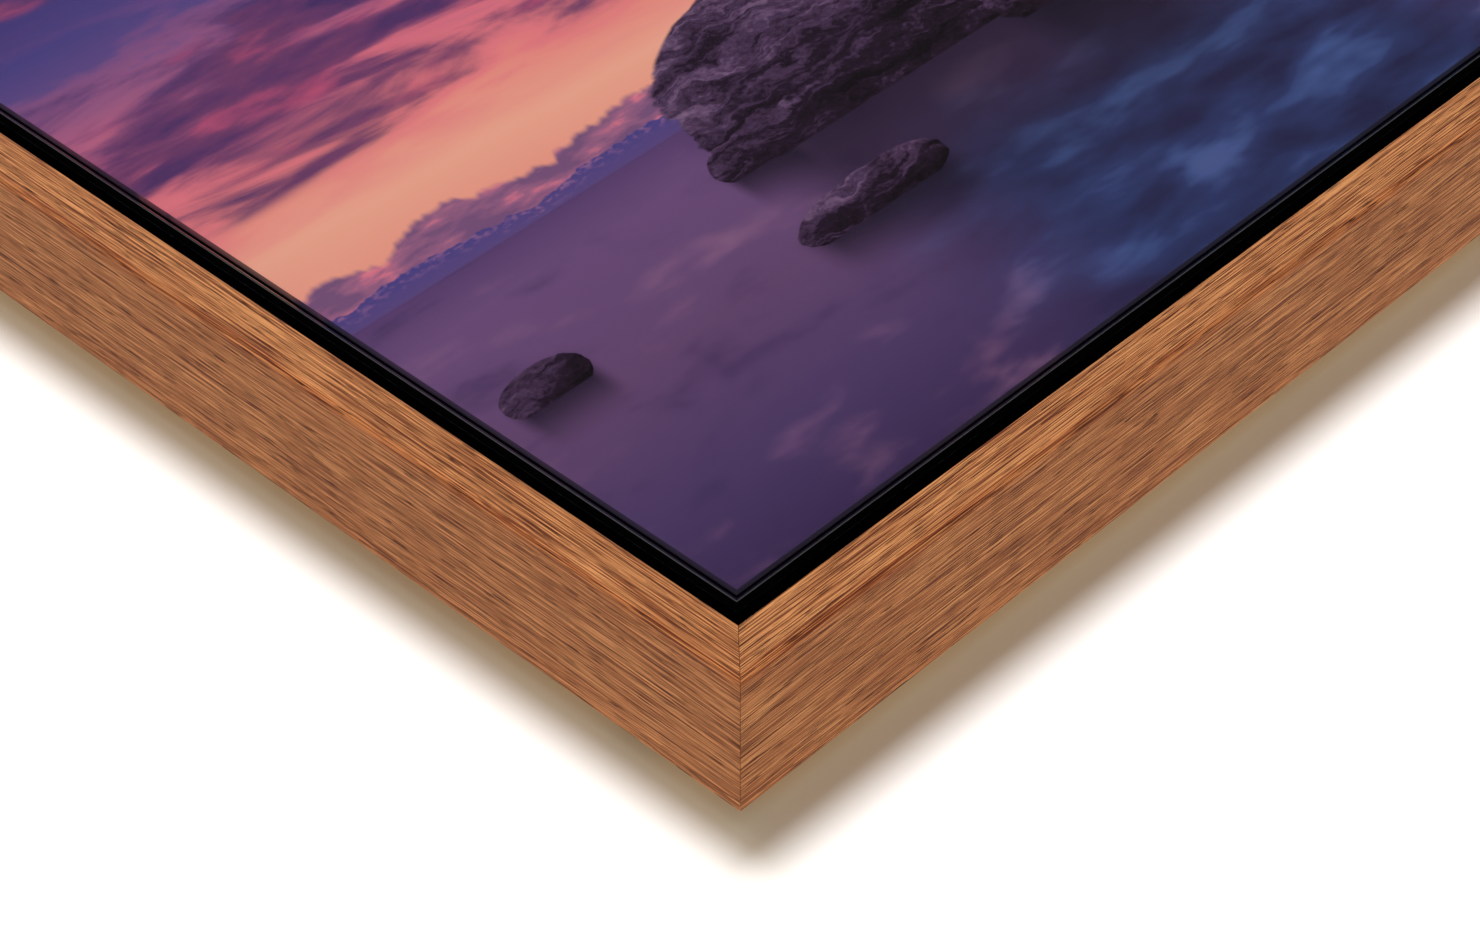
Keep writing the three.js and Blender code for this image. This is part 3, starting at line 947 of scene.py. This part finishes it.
def ring_line():
    """The D's centre line: a small corner, the half-round bow and the other small corner."""
    corner = RING_HALF_WIDTH - RING_CORNER
    bow = RING_HEIGHT - RING_HALF_WIDTH
    return np.vstack(
        [
            arc(corner, RING_CORNER, RING_CORNER, -90, 0, 9),
            arc(0, bow, RING_HALF_WIDTH, 0, 180, 49),
            arc(-corner, RING_CORNER, RING_CORNER, 180, 270, 9),
        ]
    )


def ring_rows(hinge):
    """Circles across the line, leaned about the hinge: centre + wire (cos a * out + sin a * Y)."""
    line = ring_line()
    tangent = np.roll(line, -1, axis=0) - np.roll(line, 1, axis=0)
    tangent = tangent / np.linalg.norm(tangent, axis=1, keepdims=True)
    angle = np.linspace(0, 2 * np.pi, 20, endpoint=False)
    out = WIRE * np.cos(angle)
    x = line[:, :1] + tangent[:, 1:] * out
    z = line[:, 1:] - tangent[:, :1] * out
    y = np.broadcast_to(WIRE * np.sin(angle), x.shape)
    cos, sin = math.cos(RING_LEAN), math.sin(RING_LEAN)
    return np.stack([x, y * cos - z * sin, y * sin + z * cos], axis=-1) + np.array(hinge)


for joint in frame["joints"]:
    body = joint["child"]
    mesh = skin(f"{body}_wire", ring_rows(joint["pos_m"]), looped=True)
    smooth_under(mesh, 60)
    new_piece(f"{body}_wire", mesh, [zinc_plate], body=body, node=body)

# %% [markdown]
# ## The wall, the floor and the light
# The frame hangs close to a pale wall. The wall is only there for the camera: it catches the
# frame's soft shadow, but it neither blocks nor throws back light, and from behind it is clear,
# so the back of the frame can be looked at too. The wall has a lamp of its own, which makes it
# white and gives the shadow its direction. The rest of the light is even and soft, from a pale
# sky all round and two broad lamps.

# %% Wall and floor
WALL_GAP = 0.1 * MM
FLOOR_LEVEL = -1.1
WALL_TOP = 2.5
WALL_HALF_WIDTH = 3
FLOOR_HALF_WIDTH = 60


def plain(name, colour, roughness, one_sided=False):
    material, start, _ = new_material(name)
    shader = surface(start, base_color=colour, roughness=roughness, specular_ior_level=0.1)
    if one_sided:
        behind = start.node("ShaderNodeNewGeometry", out=6)
        clear = start.node("ShaderNodeBsdfTransparent")
        shader = start.node("ShaderNodeMixShader", {}, {0: behind, 1: shader, 2: clear})
    finish_with(start, shader)
    return material


def sheet_of(name, corners, material):
    mesh = bpy.data.meshes.new(name)
    mesh.from_pydata(corners, [], [(0, 1, 2, 3)])
    mesh.materials.append(material)
    made = bpy.data.objects.new(name, mesh)
    bpy.context.scene.collection.objects.link(made)
    return made


UNIT_CORNERS = [(-1, -1), (1, -1), (1, 1), (-1, 1)]
wall_levels = {-1: FLOOR_LEVEL, 1: WALL_TOP}
wall_corners = [(x * WALL_HALF_WIDTH, WALL_GAP, wall_levels[end]) for x, end in UNIT_CORNERS]
wall_paint = plain("wall_paint", (0.62, 0.51, 0.38, 1), 0.9, one_sided=True)
wall = sheet_of("wall", wall_corners, wall_paint)
wall.visible_diffuse = False
wall.visible_glossy = False
wall.visible_transmission = False
wall.visible_shadow = False
floor_corners = [
    (x * FLOOR_HALF_WIDTH, y * FLOOR_HALF_WIDTH, FLOOR_LEVEL) for x, y in UNIT_CORNERS
]
sheet_of("floor", floor_corners, plain("floor_paint", (0.8, 0.79, 0.77, 1), 0.8))

# %% Lights
scene = bpy.context.scene
scene.view_settings.view_transform = "Standard"

world = bpy.data.worlds.new("pale_sky")
scene.world = world
world.use_nodes = True
sky_light = world.node_tree.nodes["Background"].inputs
sky_light["Color"].default_value = (0.95, 0.97, 1.0, 1)
sky_light["Strength"].default_value = 0.72


def lamp(name, kind, energy, place, **settings):
    """A lamp at this place in metres that shines towards the frame's centre."""
    data = bpy.data.lights.new(name, kind)
    data.energy = energy
    for setting, value in settings.items():
        setattr(data, setting, value)
    made = bpy.data.objects.new(name, data)
    scene.collection.objects.link(made)
    made.location = place
    made.rotation_mode = "QUATERNION"
    made.rotation_quaternion = (-Vector(place)).to_track_quat("-Z", "Y")
    return made


lamp("soft_key", "AREA", 11.0, (-0.1, -1.5, 1.5), size=1.2)
lamp("soft_back", "AREA", 9.0, (0.7, 1.5, 1.1), size=1.2)
wall_lamp = lamp("wall_lamp", "SUN", 10.0, (0.20, -1.0, 0.30), color=(0.56, 0.68, 0.93))
wall_lamp.data.angle = math.radians(20)
lit_by_wall_lamp = bpy.data.collections.new("lit_by_wall_lamp")
lit_by_wall_lamp.objects.link(wall)
wall_lamp.light_linking.receiver_collection = lit_by_wall_lamp
